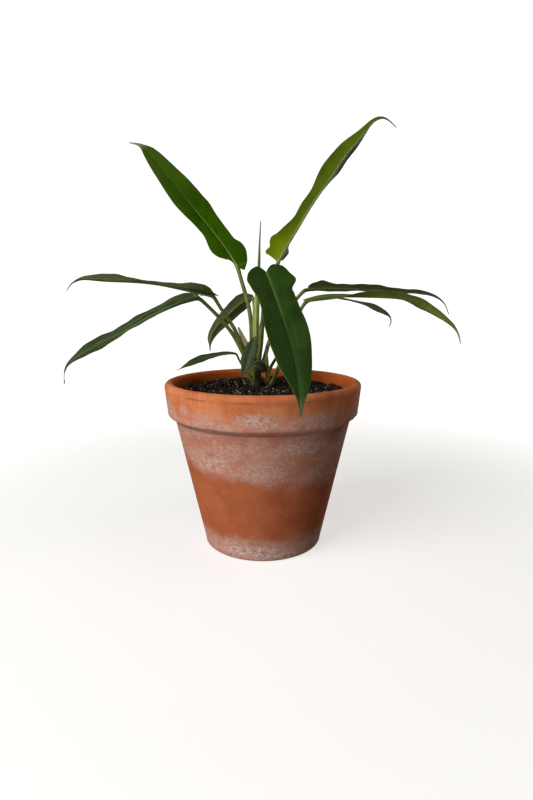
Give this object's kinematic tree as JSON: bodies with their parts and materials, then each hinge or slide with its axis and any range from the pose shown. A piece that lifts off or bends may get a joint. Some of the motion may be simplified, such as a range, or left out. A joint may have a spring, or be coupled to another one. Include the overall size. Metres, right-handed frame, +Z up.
{
  "type": "potted foliage plant",
  "caption": "Foliage plant with long narrow waisted leaves on slender arching stalks, rooted in soil in a weathered clay pot with a banded rim.",
  "frame": {"origin": "middle of the pot's underside, on its axis", "axes": "+Z up along the pot's axis; the front, towards which the broad front leaf hangs over the rim, is -Y; +X is to the right seen from the front"},
  "size_m": [0.404, 0.2525, 0.4136],
  "materials": {
    "clay": "matte",
    "soil": "matte",
    "stem": "matte",
    "stalk": "satin",
    "shoot": "satin",
    "sheath": "satin",
    "dry_sheath": "matte",
    "leaf_deep": "satin",
    "leaf_olive": "satin",
    "leaf_blue": "satin",
    "leaf_grey": "satin",
    "leaf_green": "satin"
  },
  "bodies": {
    "root": {"pot": "clay", "soil": "soil", "main_stem": "stem", "side_stem": "stem", "rolled_leaf": "shoot", "dry_sheath": "dry_sheath", "tall_sheath": "sheath", "short_sheath": "sheath", "blade_upper_left": "leaf_deep", "stalk_upper_left": "stalk", "blade_upper_right": "leaf_olive", "stalk_upper_right": "stalk", "blade_front": "leaf_blue", "stalk_front": "stalk", "blade_left_high": "leaf_grey", "stalk_left_high": "stalk", "blade_left_low": "leaf_green", "stalk_left_low": "stalk", "blade_left_small": "leaf_green", "stalk_left_small": "stalk", "blade_front_small": "leaf_blue", "stalk_front_small": "stalk", "blade_back": "leaf_grey", "stalk_back": "stalk", "blade_right_high": "leaf_deep", "stalk_right_high": "stalk", "blade_right_low": "leaf_olive", "stalk_right_low": "stalk", "blade_right_short": "leaf_grey", "stalk_right_short": "stalk", "blade_crown_tiny": "leaf_grey", "stalk_crown_tiny": "stalk"}
  },
  "joints": []
}
